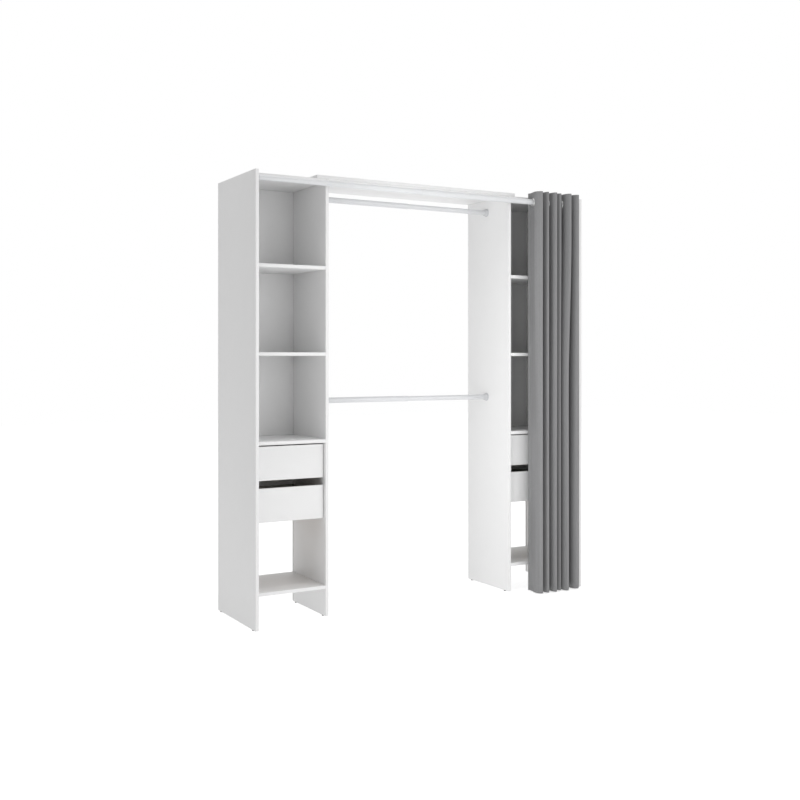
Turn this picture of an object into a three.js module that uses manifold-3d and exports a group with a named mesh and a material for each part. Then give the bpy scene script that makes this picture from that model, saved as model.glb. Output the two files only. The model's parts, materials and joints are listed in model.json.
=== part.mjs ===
// Curtain wardrobe: two open shelf columns of white melamine board with two drawers each, joined by a
// top board and by telescopic hanging rails, with an eyelet curtain on a telescopic rod in front.
// Millimetres, +Z up. X runs from the left column to the right one, and the front faces -Y.
import * as THREE from 'three';
import { mergeVertices } from 'three/addons/utils/BufferGeometryUtils.js';
import Module from 'manifold-3d';

const wasm = await Module();
wasm.setup();

// Whole wardrobe
const wardrobeWidth = 1820;
const columnWidth = 400;
const columnHeight = 2030;
const boardThickness = 16;
const outerSideDepth = 470;
const innerSideRecess = 94;
const glideHeight = 5;

// Shelves: the height of each upper face above the floor, and the back board
const shelfTops = { lower: 825, middle: 1227, upper: 1626 };
const baseShelfTop = 149;
const backThickness = 3;
const backInset = 10;
const backBottom = 450;
const grooveDepth = 6;
const grooveClearance = 0.3;
const baseShelfRearInset = 3;

// Top board that links the columns
const topBoardLapLeft = 60;
const topBoardLapRight = 40;

// Nail glides under the side panels
const glideRadius = 7;
const glideChamfer = 1.5;
const glideFromFront = 42;
const glideFromRear = 28;
const glideSegments = 16;

// Drawers
const drawerFrontHeight = 154;
const upperDrawerBottom = 648;
const fingerGap = 35;
const drawerFrontRecess = 19;
const drawerSideGap = 3;
const drawerBoxHeight = 110;
const drawerBoxLift = 16;
const drawerBoxLength = 300;
const drawerWall = 12;
const drawerFloorLift = 8;
const drawerFloorThickness = 3;

// Drawer runners: a channel on the column's side and a rail on the drawer's side
const runnerSpace = 13;
const channelWidth = 12;
const channelHeight = 22;
const channelWall = 1.5;
const runnerLength = 290;
const runnerClearance = 0.4;
const runnerRise = 14;

// Telescopic tubes and their end sockets
const wideTubeRadius = 14;
const slimTubeRadius = 12.5;
const tubeWall = 1.2;
const tubeSegments = 32;
const socketRadius = 21;
const socketFlange = 3;
const railCup = { wall: 4, depth: 15 };
const rodCup = { wall: 2.5, depth: 10 };
const socketFloor = 1.5;
const socketClearance = 0.3;
const tubeLengthShare = 0.5255;
const upperRailDrop = 64;
const railSetback = 293;
const lowerRailHeight = 996;

// Curtain rod, in front of the columns
const rodDrop = 31.9;
const rodSetback = 32;

// Curtain: an eyelet curtain gathered at the right-hand end of the rod
const curtainWidth = 264;
const curtainEndGap = 9;
const curtainHem = 5;
const curtainHeading = 47.6;
const foldFront = 60;
const foldRear = 48;
const clothThickness = 2.4;
const foldGap = 0.3;
const eyeletRadius = 20.5;
const eyeletBore = 16.5;
const eyeletWidth = 5;
const eyeletClearance = 0.3;
const eyeletSegments = 24;
const stepsPerFace = 12;
const faceBulgeShare = 1.15;

// Each fold as shares: along the gathered width from its left edge, and forward of or behind the rod
const frontCrestShares = [
  { along: 0.068, out: 0.983 },
  { along: 0.214, out: 0.967 },
  { along: 0.394, out: 1.05 },
  { along: 0.5436, out: 0.767 },
  { along: 0.7064, out: 1.1 },
  { along: 0.9564, out: 0.933 },
];
const rearCrestShares = [
  { along: 0, out: 0.917 },
  { along: 0.141, out: 1 },
  { along: 0.304, out: 1.04 },
  { along: 0.469, out: 0.917 },
  { along: 0.625, out: 1.083 },
  { along: 0.831, out: 1 },
  { along: 1, out: 0.833 },
];

// Sizes worked out from the ones above
const halfWidth = wardrobeWidth / 2;
const columnInnerWidth = columnWidth - 2 * boardThickness;
const columnCentre = halfWidth - columnWidth / 2;
const bayHalfWidth = halfWidth - columnWidth;
const spanHalfWidth = halfWidth - boardThickness;
const panelRear = outerSideDepth;
const backRear = panelRear - backInset;
const backFront = backRear - backThickness;
const drawerFrontFace = innerSideRecess + drawerFrontRecess;
const drawerBoxFront = drawerFrontFace + boardThickness;
const lowerDrawerBottom = upperDrawerBottom - fingerGap - drawerFrontHeight;
const upperRailHeight = columnHeight - upperRailDrop;
const rodHeight = columnHeight - rodDrop;
const curtainRight = spanHalfWidth - curtainEndGap;
const curtainLeft = curtainRight - curtainWidth;
const curtainTop = rodHeight + curtainHeading;

// The front of the whole object is the crest that stands out most, so the frame is centred on it
const foremostCrest = rodSetback - foldFront * Math.max(...frontCrestShares.map((c) => c.out));
const frameDepthCentre = (foremostCrest - clothThickness / 2 + panelRear) / 2;

const melamine = new THREE.MeshStandardMaterial({ color: 0xf1f1ef, roughness: 0.45, metalness: 0 });
const hardboard = new THREE.MeshStandardMaterial({ color: 0xe9e9e7, roughness: 0.6, metalness: 0 });
const whiteSteel = new THREE.MeshStandardMaterial({ color: 0xe6e7e8, roughness: 0.3, metalness: 0.1 });
const whitePlastic = new THREE.MeshStandardMaterial({ color: 0xeceded, roughness: 0.35, metalness: 0 });
const blackPlastic = new THREE.MeshStandardMaterial({ color: 0x1c1c1c, roughness: 0.5, metalness: 0 });
const greyCloth = new THREE.MeshStandardMaterial({ color: 0x8d8d8d, roughness: 0.9, metalness: 0 });

const wardrobe = new THREE.Group();
const workshop = new THREE.Group();
workshop.position.y = -frameDepthCentre;
wardrobe.add(workshop);

function place(name, geometry, material) {
  const mesh = new THREE.Mesh(geometry, material);
  mesh.name = name;
  workshop.add(mesh);
  return mesh;
}

// A block between two corners
function block([x0, x1], [y0, y1], [z0, z1]) {
  const geometry = new THREE.BoxGeometry(Math.abs(x1 - x0), y1 - y0, z1 - z0);
  return geometry.translate((x0 + x1) / 2, (y0 + y1) / 2, (z0 + z1) / 2);
}

// An outline in X and Y, raised from one height to another
function upright(points, z0, z1) {
  const shape = new THREE.Shape(points.map(([x, y]) => new THREE.Vector2(x, y)));
  const geometry = new THREE.ExtrudeGeometry(shape, { depth: z1 - z0, bevelEnabled: false });
  return geometry.translate(0, 0, z0);
}

// An outline in X and Z, drawn out from one depth to another
function runAlongY(points, y0, y1) {
  const shape = new THREE.Shape(points.map(([x, z]) => new THREE.Vector2(x, z)));
  const geometry = new THREE.ExtrudeGeometry(shape, { depth: y1 - y0, bevelEnabled: false });
  return geometry.rotateX(Math.PI / 2).translate(0, y1, 0);
}

// A turned piece whose axis runs along X from x0, towards the right for toward = 1
function turnedAlongX(profile, segments, x0, y, z, toward = 1) {
  const points = profile.map(([radius, along]) => new THREE.Vector2(radius, along));
  const geometry = new THREE.LatheGeometry(points, segments);
  return geometry.rotateZ(-toward * Math.PI / 2).translate(x0, y, z);
}

function toSolid(geometry) {
  const bare = geometry.clone();
  bare.deleteAttribute('normal');
  bare.deleteAttribute('uv');
  const merged = mergeVertices(bare);
  return new wasm.Manifold(new wasm.Mesh({
    numProp: 3,
    vertProperties: Float32Array.from(merged.attributes.position.array),
    triVerts: Uint32Array.from(merged.index.array),
  }));
}

function toGeometry(solid) {
  const mesh = solid.getMesh();
  const geometry = new THREE.BufferGeometry();
  geometry.setAttribute('position', new THREE.BufferAttribute(mesh.vertProperties, 3));
  geometry.setIndex(new THREE.BufferAttribute(mesh.triVerts, 1));
  geometry.computeVertexNormals();
  return geometry;
}

// A side panel: its plan has a full-height groove for the back board on the face towards the shelves
function sidePanel(name, outerX, niche, front) {
  const innerX = outerX + niche * boardThickness;
  const grooveX = innerX - niche * grooveDepth;
  const grooveFront = backFront - grooveClearance;
  const grooveRear = backRear + grooveClearance;
  const plan = [
    [outerX, front],
    [innerX, front],
    [innerX, grooveFront],
    [grooveX, grooveFront],
    [grooveX, grooveRear],
    [innerX, grooveRear],
    [innerX, panelRear],
    [outerX, panelRear],
  ];
  place(name, upright(plan, glideHeight, columnHeight), melamine);
}

// A nail glide under a side panel
function glide(name, x, y) {
  const geometry = new THREE.LatheGeometry([
    new THREE.Vector2(0, 0),
    new THREE.Vector2(glideRadius - glideChamfer, 0),
    new THREE.Vector2(glideRadius, glideChamfer),
    new THREE.Vector2(glideRadius, glideHeight),
    new THREE.Vector2(0, glideHeight),
  ], glideSegments);
  place(name, geometry.rotateX(Math.PI / 2).translate(x, y, 0), blackPlastic);
}

// A shelf board between the two sides of a column
function shelf(name, x0, x1, top, rear) {
  place(name, block([x0, x1], [innerSideRecess, rear], [top - boardThickness, top]), melamine);
}

// The channel of a drawer runner, open towards the drawer
function runner(name, panelX, toDrawer, drawerBottom) {
  const z0 = drawerBottom + drawerBoxLift + runnerRise;
  const z1 = z0 + channelHeight;
  const lipX = panelX + toDrawer * channelWidth;
  const webX = panelX + toDrawer * channelWall;
  const section = [
    [panelX, z0],
    [lipX, z0],
    [lipX, z0 + channelWall],
    [webX, z0 + channelWall],
    [webX, z1 - channelWall],
    [lipX, z1 - channelWall],
    [lipX, z1],
    [panelX, z1],
  ];
  place(name, runAlongY(section, drawerBoxFront, drawerBoxFront + runnerLength), whiteSteel);
}

// A drawer: its front board, and its box of two sides, a rear and a floor, with a rail on each side
function drawer(name, centreX, bottom) {
  const frontHalf = columnInnerWidth / 2 - drawerSideGap;
  place(`${name}_front`, block(
    [centreX - frontHalf, centreX + frontHalf],
    [drawerFrontFace, drawerBoxFront],
    [bottom, bottom + drawerFrontHeight],
  ), melamine);

  const boxHalf = columnInnerWidth / 2 - runnerSpace;
  const innerHalf = boxHalf - drawerWall;
  const boxRear = drawerBoxFront + drawerBoxLength;
  const z0 = bottom + drawerBoxLift;
  const z1 = z0 + drawerBoxHeight;
  const floorTop = z0 + drawerFloorLift + drawerFloorThickness;
  const overrun = drawerWall;
  let box = toSolid(block([centreX - boxHalf, centreX + boxHalf], [drawerBoxFront, boxRear], [z0, z1]));
  box = box.subtract(toSolid(block(
    [centreX - innerHalf, centreX + innerHalf],
    [drawerBoxFront - overrun, boxRear - drawerWall],
    [floorTop, z1 + overrun],
  )));
  box = box.subtract(toSolid(block(
    [centreX - innerHalf, centreX + innerHalf],
    [drawerBoxFront - overrun, boxRear + overrun],
    [z0 - overrun, z0 + drawerFloorLift],
  )));
  const railBottom = z0 + runnerRise + channelWall + runnerClearance;
  const railTop = z0 + runnerRise + channelHeight - channelWall - runnerClearance;
  const railReach = runnerSpace - channelWall - runnerClearance;
  for (const side of [-1, 1]) {
    box = box.add(toSolid(block(
      [centreX + side * innerHalf, centreX + side * (boxHalf + railReach)],
      [drawerBoxFront, drawerBoxFront + runnerLength],
      [railBottom, railTop],
    )));
  }
  place(`${name}_box`, toGeometry(box), melamine);
}

// One column; side is -1 for the left one and 1 for the right one
function column(word, side) {
  const outerX = side * halfWidth;
  const innerX = side * bayHalfWidth;
  const nicheOuter = outerX - side * boardThickness;
  const nicheInner = innerX + side * boardThickness;
  sidePanel(`outer_side_${word}`, outerX, -side, 0);
  sidePanel(`inner_side_${word}`, innerX, side, innerSideRecess);

  shelf(`column_top_${word}`, nicheOuter, nicheInner, columnHeight, backFront);
  for (const [level, top] of Object.entries(shelfTops)) {
    shelf(`${level}_shelf_${word}`, nicheOuter, nicheInner, top, backFront);
  }
  shelf(`base_shelf_${word}`, nicheOuter, nicheInner, baseShelfTop, panelRear - baseShelfRearInset);

  const tongue = grooveDepth - grooveClearance;
  place(`back_${word}`, block(
    [nicheOuter + side * tongue, nicheInner - side * tongue],
    [backFront, backRear],
    [backBottom, columnHeight],
  ), hardboard);

  for (const [panel, x, front] of [['outer', outerX, 0], ['inner', innerX, innerSideRecess]]) {
    const middle = x + (panel === 'outer' ? -side : side) * boardThickness / 2;
    glide(`glide_${word}_${panel}_front`, middle, front + glideFromFront);
    glide(`glide_${word}_${panel}_rear`, middle, panelRear - glideFromRear);
  }

  for (const [level, bottom] of [['upper', upperDrawerBottom], ['lower', lowerDrawerBottom]]) {
    runner(`runner_${word}_${level}_outer`, nicheOuter, -side, bottom);
    runner(`runner_${word}_${level}_inner`, nicheInner, side, bottom);
    drawer(`drawer_${word}_${level}`, side * columnCentre, bottom);
  }
}

function topBoard() {
  place('top_board', block(
    [-bayHalfWidth - topBoardLapLeft, bayHalfWidth + topBoardLapRight],
    [innerSideRecess, panelRear],
    [columnHeight, columnHeight + boardThickness],
  ), melamine);
}

function tube(name, x0, length, radius, y, z) {
  const bore = radius - tubeWall;
  const profile = [[bore, 0], [radius, 0], [radius, length], [bore, length], [bore, 0]];
  place(name, turnedAlongX(profile, tubeSegments, x0, y, z), whiteSteel);
}

// An end socket: a round flange on the panel and a collar that the tube sits in
function socket(name, panelX, toward, radius, y, z, cup) {
  const bore = radius + socketClearance;
  const profile = [
    [0, 0],
    [socketRadius, 0],
    [socketRadius, socketFlange],
    [bore + cup.wall, socketFlange],
    [bore + cup.wall, cup.depth],
    [bore, cup.depth],
    [bore, socketFloor],
    [0, socketFloor],
  ];
  place(name, turnedAlongX(profile, tubeSegments, panelX, y, z, toward), whitePlastic);
}

// Two tubes, one sliding in the other, between sockets on two facing panels
function telescope(name, panelHalf, leftRadius, rightRadius, y, z, cup) {
  const length = 2 * panelHalf * tubeLengthShare;
  const seat = panelHalf - socketFloor - socketClearance;
  const leftWord = leftRadius > rightRadius ? 'wide' : 'slim';
  const rightWord = leftRadius > rightRadius ? 'slim' : 'wide';
  socket(`${name}_socket_left`, -panelHalf, 1, leftRadius, y, z, cup);
  socket(`${name}_socket_right`, panelHalf, -1, rightRadius, y, z, cup);
  tube(`${name}_${leftWord}_tube`, -seat, length, leftRadius, y, z);
  tube(`${name}_${rightWord}_tube`, seat - length, length, rightRadius, y, z);
}

// The cloth between two crests, as points on its middle line: it stands nearly straight across the
// rod and turns round at each crest
function faceLine(from, to) {
  const points = [];
  for (let i = 0; i <= stepsPerFace; i += 1) {
    const s = i / stepsPerFace;
    const along = s + faceBulgeShare * Math.sin(2 * Math.PI * s) / (2 * Math.PI);
    const across = (1 - Math.cos(Math.PI * s)) / 2;
    points.push([from[0] + (to[0] - from[0]) * along, from[1] + (to[1] - from[1]) * across]);
  }
  return points;
}

function crestPoint(share, front) {
  const y = front ? rodSetback - foldFront * share.out : rodSetback + foldRear * share.out;
  return [curtainLeft + curtainWidth * share.along, y];
}

// The outline of the cloth's thickness round a middle line. A line ends on a crest, where the cloth
// runs along X, so its end face stands straight across.
function clothOutline(line) {
  const left = [];
  const right = [];
  line.forEach(([x, y], i) => {
    const isEnd = i === 0 || i === line.length - 1;
    const [xa, ya] = isEnd ? [x, y] : line[i - 1];
    const [xb, yb] = isEnd ? [x + clothThickness, y] : line[i + 1];
    const length = Math.hypot(xb - xa, yb - ya);
    const dx = (yb - ya) / length * clothThickness / 2;
    const dy = (xb - xa) / length * clothThickness / 2;
    left.push([x - dx, y + dy]);
    right.push([x + dx, y - dy]);
  });
  return left.concat(right.reverse());
}

// Where a middle line crosses the rod's line
function rodCrossings(line) {
  const found = [];
  for (let i = 1; i < line.length; i += 1) {
    const [xa, ya] = line[i - 1];
    const [xb, yb] = line[i];
    if ((ya - rodSetback) * (yb - rodSetback) < 0) {
      found.push(xa + (xb - xa) * (rodSetback - ya) / (yb - ya));
    }
  }
  return found;
}

// Each fold goes from one front crest round a rear crest to the next front crest, and the end folds
// stop at the side hems. An eyelet stands in every face, round the rod.
function curtain() {
  const eyeletHeight = rodHeight - (eyeletBore - wideTubeRadius - eyeletClearance);
  rearCrestShares.forEach((share, k) => {
    const rear = crestPoint(share, false);
    const before = k > 0 ? crestPoint(frontCrestShares[k - 1], true) : null;
    const after = k < frontCrestShares.length ? crestPoint(frontCrestShares[k], true) : null;
    if (before) {
      before[0] += foldGap / 2;
    }
    if (after) {
      after[0] -= foldGap / 2;
    }
    let line = [];
    if (before) {
      line = faceLine(before, rear);
    }
    if (after) {
      line = line.slice(0, -1).concat(faceLine(rear, after));
    }
    let cloth = toSolid(upright(clothOutline(line), curtainHem, curtainTop));
    const ringProfile = [
      [eyeletBore, 0],
      [eyeletRadius, 0],
      [eyeletRadius, eyeletWidth],
      [eyeletBore, eyeletWidth],
      [eyeletBore, 0],
    ];
    const borePlug = [[0, 0], [eyeletBore, 0], [eyeletBore, eyeletWidth], [0, eyeletWidth]];
    for (const x of rodCrossings(line)) {
      const start = x - eyeletWidth / 2;
      const bore = turnedAlongX(borePlug, eyeletSegments, start, rodSetback, eyeletHeight);
      const ring = turnedAlongX(ringProfile, eyeletSegments, start, rodSetback, eyeletHeight);
      cloth = cloth.subtract(toSolid(bore)).add(toSolid(ring));
    }
    place(`curtain_fold_${k + 1}`, toGeometry(cloth), greyCloth);
  });
}

column('left', -1);
column('right', 1);
topBoard();
telescope('upper_rail', bayHalfWidth, wideTubeRadius, slimTubeRadius, railSetback, upperRailHeight, railCup);
telescope('lower_rail', bayHalfWidth, wideTubeRadius, slimTubeRadius, railSetback, lowerRailHeight, railCup);
telescope('curtain_rod', spanHalfWidth, slimTubeRadius, wideTubeRadius, rodSetback, rodHeight, rodCup);
curtain();

export default wardrobe;
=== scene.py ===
# Curtain wardrobe in Blender: white melamine columns with shelves and drawers, a top board,
# telescopic rails and rod, and a grey eyelet curtain. Metres; the front faces -Y and +Z is up.
import json
import math

import bmesh
import bpy
import numpy as np
from bpy.props import FloatProperty, FloatVectorProperty, IntProperty, PointerProperty
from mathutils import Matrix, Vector


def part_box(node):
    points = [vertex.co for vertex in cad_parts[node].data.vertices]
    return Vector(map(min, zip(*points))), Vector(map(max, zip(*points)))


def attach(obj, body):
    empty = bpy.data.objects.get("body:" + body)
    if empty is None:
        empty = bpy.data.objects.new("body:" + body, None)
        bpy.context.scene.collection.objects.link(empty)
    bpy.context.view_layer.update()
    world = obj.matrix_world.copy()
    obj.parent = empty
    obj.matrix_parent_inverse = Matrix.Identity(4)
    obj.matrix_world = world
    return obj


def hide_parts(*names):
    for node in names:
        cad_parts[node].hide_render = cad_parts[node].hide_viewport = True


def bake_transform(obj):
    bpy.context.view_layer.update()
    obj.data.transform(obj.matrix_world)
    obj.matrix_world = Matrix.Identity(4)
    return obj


bl_info = {
    "name": "Curtain wardrobe",
    "version": (1, 0, 0),
    "blender": (4, 5, 0),
    "location": "View3D > Sidebar > Wardrobe",
    "description": "Dresses the boards, fittings and curtain of an open wardrobe",
    "category": "Object",
}

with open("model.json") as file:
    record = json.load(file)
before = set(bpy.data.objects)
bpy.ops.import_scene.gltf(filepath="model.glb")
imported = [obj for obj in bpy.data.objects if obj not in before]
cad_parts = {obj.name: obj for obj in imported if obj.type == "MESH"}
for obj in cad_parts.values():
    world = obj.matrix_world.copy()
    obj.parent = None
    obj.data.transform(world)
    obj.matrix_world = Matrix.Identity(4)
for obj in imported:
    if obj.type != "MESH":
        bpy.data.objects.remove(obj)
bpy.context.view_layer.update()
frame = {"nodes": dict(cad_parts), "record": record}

MM = 0.001
SIDES = ("left", "right")
LEVELS = ("upper", "lower")
RUNS = ("upper_rail", "lower_rail", "curtain_rod")
PANELS = ("outer_side", "inner_side")
SHELVES = ("column_top", "upper_shelf", "middle_shelf", "lower_shelf", "base_shelf")
ORIGIN = (0, 0, 0)
UP = (0, 0, 1)
BODY_OF = {
    node: body
    for body, nodes in frame["record"]["behaviour"]["bodies"].items()
    for node in nodes
}

# Rounding of the edges of hardboard and sheet steel, and how many steps it takes
SHEET_EDGE = (0.3 * MM, 2)

# The curtain's crests from left to right: each one's place as a share of the gathered width, its
# depth as a share of a fold's, and how far it leans sideways, in millimetres, at the hem and at the
# heading. A front fold also swells towards the middle bay, in millimetres at the hem and heading.
FRONT_CRESTS = (
    (0.051, 0.983, (0, 0), (11, 17)),
    (0.196, 0.967, (1, 0), (1, 1)),
    (0.383, 1.05, (-1, 0), (4, 4)),
    (0.528, 0.767, (-1, 0), (4, 4)),
    (0.6965, 1.1, (-15, 6), (8, 8)),
    (0.947, 0.933, (-2, 1), (8, 8)),
)
REAR_CRESTS = (
    (0, 0.917, (0, 0)),
    (0.141, 1, (-1, 0)),
    (0.304, 1.04, (1, 0)),
    (0.469, 0.917, (-1, 0)),
    (0.625, 1.083, (-4, 8)),
    (0.831, 1, (-5, 3)),
    (1, 0.833, (0, 0)),
)


# Settings in the panel


def srgb(code):
    """A hex colour as linear red, green, blue and alpha."""
    parts = [int(code[i:i + 2], 16) / 255 for i in (1, 3, 5)]
    return tuple(c / 12.92 if c <= 0.04045 else ((c + 0.055) / 1.055) ** 2.4 for c in parts) + (1,)


class WardrobeBoardSettings(bpy.types.PropertyGroup):
    """Boards, backs and drawers"""

    edge_radius: FloatProperty(
        name="Edge radius", description="Rounding of the banded board edges",
        default=0.8 * MM, min=0.1 * MM, max=3 * MM, unit="LENGTH", precision=4,
    )
    face_colour: FloatVectorProperty(
        name="Board", description="Colour of the melamine faces",
        default=srgb("#EEEEEE"), size=4, min=0, max=1, subtype="COLOR",
    )
    back_colour: FloatVectorProperty(
        name="Raw back", description="Colour of the hardboard's uncoated side",
        default=srgb("#A98C6C"), size=4, min=0, max=1, subtype="COLOR",
    )
    box_colour: FloatVectorProperty(
        name="Drawer box", description="Colour of the foil on the drawer boxes",
        default=srgb("#A9A7A3"), size=4, min=0, max=1, subtype="COLOR",
    )
    cap_diameter: FloatProperty(
        name="Cam cap", description="Diameter of the caps over the cam fittings",
        default=17 * MM, min=8 * MM, max=30 * MM, unit="LENGTH", precision=4,
    )


class WardrobeTubeSettings(bpy.types.PropertyGroup):
    """Rails, rod and their sockets"""

    colour: FloatVectorProperty(
        name="White coat",
        description="Colour of the powder coat on the curtain rod and the runners",
        default=srgb("#DBDCDE"), size=4, min=0, max=1, subtype="COLOR",
    )
    # The rails' coat is the white coat made a shade greyer: painted shade that stands in for the
    # shade falling on the rails
    shaded_rail_colour: FloatVectorProperty(
        name="Shaded rail coat", description="Colour of the powder coat on the two hanging rails",
        default=srgb("#D3D4D6"), size=4, min=0, max=1, subtype="COLOR",
    )
    segments: IntProperty(
        name="Segments", description="Faces round a tube or socket", default=64, min=24, max=128,
    )
    end_radius: FloatProperty(
        name="End rounding", description="Rounding of a tube's cut end",
        default=0.4 * MM, min=0, max=0.6 * MM, unit="LENGTH", precision=5,
    )


class WardrobeCurtainSettings(bpy.types.PropertyGroup):
    """The curtain and its eyelets"""

    colour: FloatVectorProperty(
        name="Cloth", description="Colour of the cloth",
        default=srgb("#949495"), size=4, min=0, max=1, subtype="COLOR",
    )
    thickness: FloatProperty(
        name="Cloth thickness", description="Thickness of the cloth",
        default=1.1 * MM, min=0.3 * MM, max=2.4 * MM, unit="LENGTH", precision=4,
    )
    thread_spacing: FloatProperty(
        name="Thread spacing", description="Distance between the drawn threads of the weave",
        default=0.9 * MM, min=0.2 * MM, max=4 * MM, unit="LENGTH", precision=4,
    )
    hem_depth: FloatProperty(
        name="Hem depth", description="Height of the hem's seam above its lower edge",
        default=40 * MM, min=5 * MM, max=120 * MM, unit="LENGTH", precision=4,
    )
    stitch_spacing: FloatProperty(
        name="Stitch spacing", description="Distance between the stitches of a seam",
        default=4 * MM, min=2 * MM, max=10 * MM, unit="LENGTH", precision=4,
    )


class WardrobeStageSettings(bpy.types.PropertyGroup):
    """Floor, lights and camera"""

    camera_place: FloatVectorProperty(
        name="Camera", description="Place of the camera",
        default=(-2.67335, -4.57382, 1.20427), subtype="TRANSLATION", unit="LENGTH",
    )
    camera_turn: FloatProperty(
        name="Turn", description="Turn of the camera from straight ahead",
        default=math.radians(30.32), subtype="ANGLE",
    )
    lens: FloatProperty(
        name="Lens", description="Focal length on a 36 mm wide sensor, in millimetres",
        default=47.917,
    )
    floor_colour: FloatVectorProperty(
        name="Floor", description="Colour of the floor",
        default=srgb("#ECECEC"), size=4, min=0, max=1, subtype="COLOR",
    )
    room_light: FloatProperty(
        name="Room light", description="Level of the light from all round", default=0.45,
    )
    floor_light: FloatProperty(
        name="Floor light", description="Level of the light that the floor gives from below",
        default=0.34,
    )
    top_light: FloatProperty(
        name="Top lamp", description="Power of the lamp overhead", default=600, unit="POWER",
    )
    side_light: FloatProperty(
        name="Side lamp", description="Power of the far lamp in front on the right",
        default=188, unit="POWER",
    )
    front_light: FloatProperty(
        name="Front lamp", description="Power of the soft lamp before the middle bay",
        default=3.2, unit="POWER",
    )
    bay_light: FloatProperty(
        name="Bay lamp",
        description="Power of the soft lamp that faces the right column's inner side",
        default=2.1, unit="POWER",
    )


# Nodes and materials


def add_node(tree, kind, inputs=None, **settings):
    """Adds a node; each input takes a value, another node's output, or a node for its first one."""
    node = tree.nodes.new(kind)
    for name, value in settings.items():
        setattr(node, name, value)
    for socket, value in (inputs or {}).items():
        if isinstance(value, bpy.types.Node):
            value = value.outputs[0]
        if isinstance(value, bpy.types.NodeSocket):
            tree.links.new(value, node.inputs[socket])
        else:
            node.inputs[socket].default_value = value
    return node


def cleared_tree(holder):
    """The empty node tree of a material or world."""
    holder.use_nodes = True
    holder.node_tree.nodes.clear()
    return holder.node_tree


def surface(name, shader_inputs, build):
    """A material of one shader; build(tree) returns the inputs that come from nodes."""
    found = bpy.data.materials.get(name)
    if found:
        return found
    material = bpy.data.materials.new(name)
    tree = cleared_tree(material)
    shader = add_node(tree, "ShaderNodeBsdfPrincipled", {**shader_inputs, **build(tree)})
    add_node(tree, "ShaderNodeOutputMaterial", {"Surface": shader})
    return material


def speckle(tree, vector, size, low, high, detail=3.0):
    """Patches of two colours, about size millimetres across."""
    noise = add_node(tree, "ShaderNodeTexNoise", {
        "Vector": vector, "Scale": 1 / (size * MM), "Detail": detail,
    })
    # A mix node keeps its inputs 6 and 7 and its output 2 for colours
    mixed = add_node(tree, "ShaderNodeMix", {0: noise, 6: low, 7: high}, data_type="RGBA")
    return mixed.outputs[2]


def grain(tree, vector, size, strength, depth):
    """A bump of grains about size millimetres across, depth millimetres high."""
    noise = add_node(tree, "ShaderNodeTexNoise", {"Vector": vector, "Scale": 1 / (size * MM)})
    return add_node(tree, "ShaderNodeBump", {
        "Height": noise, "Strength": strength, "Distance": depth * MM,
    })


def shades(colour, spread):
    """The colour a little darker and a little lighter."""
    dark = tuple(max(0, c * (1 - spread)) for c in colour[:3]) + (1,)
    light = tuple(min(1, c * (1 + spread)) for c in colour[:3]) + (1,)
    return dark, light


def finish(name, shader_inputs, colours, patch, grains=None):
    """An even finish: patches of two close colours, and grains of a size, strength and depth."""
    def build(tree):
        place = add_node(tree, "ShaderNodeTexCoord").outputs["Object"]
        sockets = {"Base Color": speckle(tree, place, patch, *colours)}
        if grains:
            sockets["Normal"] = grain(tree, place, *grains)
        return sockets
    return surface(name, shader_inputs, build)


def melamine(settings):
    # Melamine paper pressed on chipboard: a cool white with a fine pearl grain of about 1 mm that
    # breaks up the gloss, and a barely seen cloudiness
    return finish("white melamine, pearl finish",
                  {"Roughness": 0.5, "IOR": 1.5, "Specular IOR Level": 0.25},
                  shades(settings.face_colour, 0.012), 60, (1.2, 0.25, 0.05))


def edge_band(settings):
    # Melamine edging ironed on: smoother than the faces and rubbed a little dull along the arris
    return finish("white edge banding", {"Roughness": 0.33, "IOR": 1.5},
                  shades(settings.face_colour, 0.02), 25, (6, 0.12, 0.1))


def glue_line():
    # The hairline of glue between the edging and the face, a shade darker than both
    return finish("glue line of the edging", {"Roughness": 0.55, "IOR": 1.5},
                  (srgb("#C9C8C4"), srgb("#DDDCD8")), 8)


def hardboard(settings, raw_side):
    # High-density fibreboard: lacquered white where it is seen, bare brown felted fibres on the
    # side that looks along raw_side
    def build(tree):
        place = add_node(tree, "ShaderNodeTexCoord").outputs["Object"]
        normal = add_node(tree, "ShaderNodeNewGeometry").outputs["Normal"]
        facing = add_node(tree, "ShaderNodeVectorMath", {0: normal, 1: raw_side},
                          operation="DOT_PRODUCT").outputs["Value"]
        behind = add_node(tree, "ShaderNodeMath", {0: facing, 1: 0.5}, operation="GREATER_THAN")
        fibres = speckle(tree, place, 3, *shades(settings.back_colour, 0.22), 6)
        lacquer = speckle(tree, place, 80, *shades(settings.face_colour, 0.01))
        both = add_node(tree, "ShaderNodeMix", {0: behind, 6: lacquer, 7: fibres}, data_type="RGBA")
        return {"Base Color": both.outputs[2], "Normal": grain(tree, place, 2, 0.2, 0.06)}
    name = "hardboard, white in front" if raw_side[1] else "hardboard, white on top"
    return surface(name, {"Roughness": 0.55, "IOR": 1.5}, build)


def drawer_foil(settings):
    # Grey foil wrapped round the drawers' thin boards: even and matt, a shade cloudy
    return finish("grey drawer foil", {"Roughness": 0.55, "IOR": 1.5},
                  shades(settings.box_colour, 0.02), 40, (1.5, 0.2, 0.04))


def powder_coat(name, colour):
    # Powder-coated steel: a hard skin with a soft orange-peel ripple a few millimetres wide
    return finish(name, {"Roughness": 0.28, "IOR": 1.5, "Coat Weight": 0.2},
                  shades(colour, 0.015), 40, (3, 0.15, 0.05))


def white_coat(context):
    return powder_coat("white powder coat on steel", context.scene.wardrobe_tubes.colour)


def moulded(name, low, high, roughness):
    # Injection-moulded plastic: even colour, a fine spark-eroded grain of the mould
    return finish(name, {"Roughness": roughness, "IOR": 1.46},
                  (srgb(low), srgb(high)), 12, (0.8, 0.2, 0.03))


def nylon():
    return moulded("moulded nylon wheel", "#DADAD6", "#E6E6E2", 0.4)


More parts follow.
